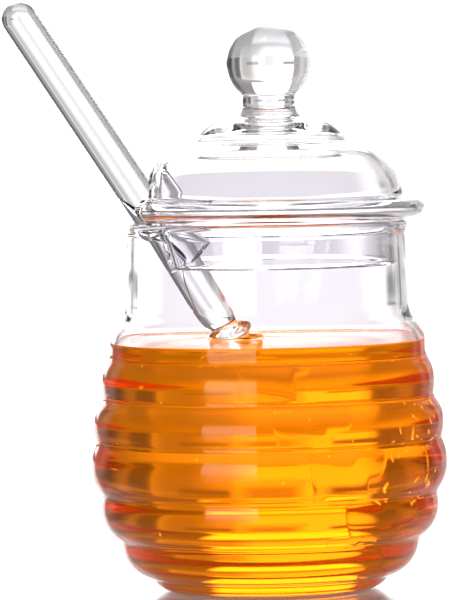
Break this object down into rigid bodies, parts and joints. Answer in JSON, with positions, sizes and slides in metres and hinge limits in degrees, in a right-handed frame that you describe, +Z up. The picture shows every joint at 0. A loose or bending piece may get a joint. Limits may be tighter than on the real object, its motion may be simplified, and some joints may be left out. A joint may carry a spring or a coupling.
{
  "type": "glass honey pot",
  "caption": "Ribbed glass jar filled with honey, with a domed lid, a ball knob and a glass dipper that leans out through a dent in the lid.",
  "frame": {"origin": "middle of the underside of the jar's foot, in the plane it stands on", "axes": "+Z up along the jar's axis, the dipper leans out towards -X in the plane Y = 0, and the pictured side faces -Y"},
  "size_m": [0.105, 0.0856, 0.1417],
  "materials": {
    "jar_glass": "clear blown glass, smooth and shiny",
    "lid_glass": "clear blown glass with a solid ball knob",
    "dipper_glass": "clear solid glass rod",
    "honey": "clear amber honey, yellow where the light comes through and orange at the sides"
  },
  "bodies": {
    "root": {"jar": "jar_glass", "lid": "lid_glass", "dipper": "dipper_glass", "honey": "honey"}
  },
  "joints": []
}
